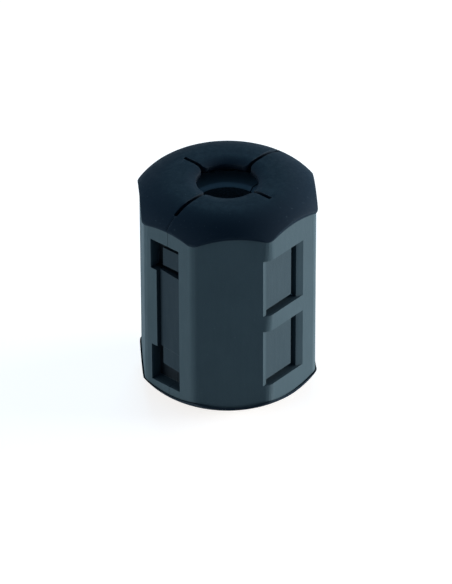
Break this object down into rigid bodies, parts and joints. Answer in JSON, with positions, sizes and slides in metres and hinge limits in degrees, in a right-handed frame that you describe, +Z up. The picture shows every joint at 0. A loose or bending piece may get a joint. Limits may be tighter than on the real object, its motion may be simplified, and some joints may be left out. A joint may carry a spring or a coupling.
{
  "type": "clip-on ferrite core",
  "caption": "Split ring ferrite core in a black eight-sided hinged plastic case with snap latch and slotted end petals that clips round a cable to damp interference.",
  "frame": {"origin": "on the bore's axis at the lower end, where the closed case stands", "axes": "+Z up along the cable bore, -X towards the latch, +X towards the hinge, the parting plane is Y = 0 and the half that opens is on -Y"},
  "size_m": [0.0281, 0.0248, 0.033],
  "materials": {
    "case_plastic": "satin moulded",
    "ferrite": "sintered, matt"
  },
  "bodies": {
    "rear_half": {"rear_shell": "case_plastic", "rear_core": "ferrite"},
    "front_half": {"front_shell": "case_plastic", "front_core": "ferrite"}
  },
  "joints": [
    {"name": "case_hinge", "type": "hinge", "parent": "rear_half", "child": "front_half", "pos_m": [0.01357, 0, 0.0165], "axis": [0, 0, 1], "range_deg": [0, 180]}
  ]
}
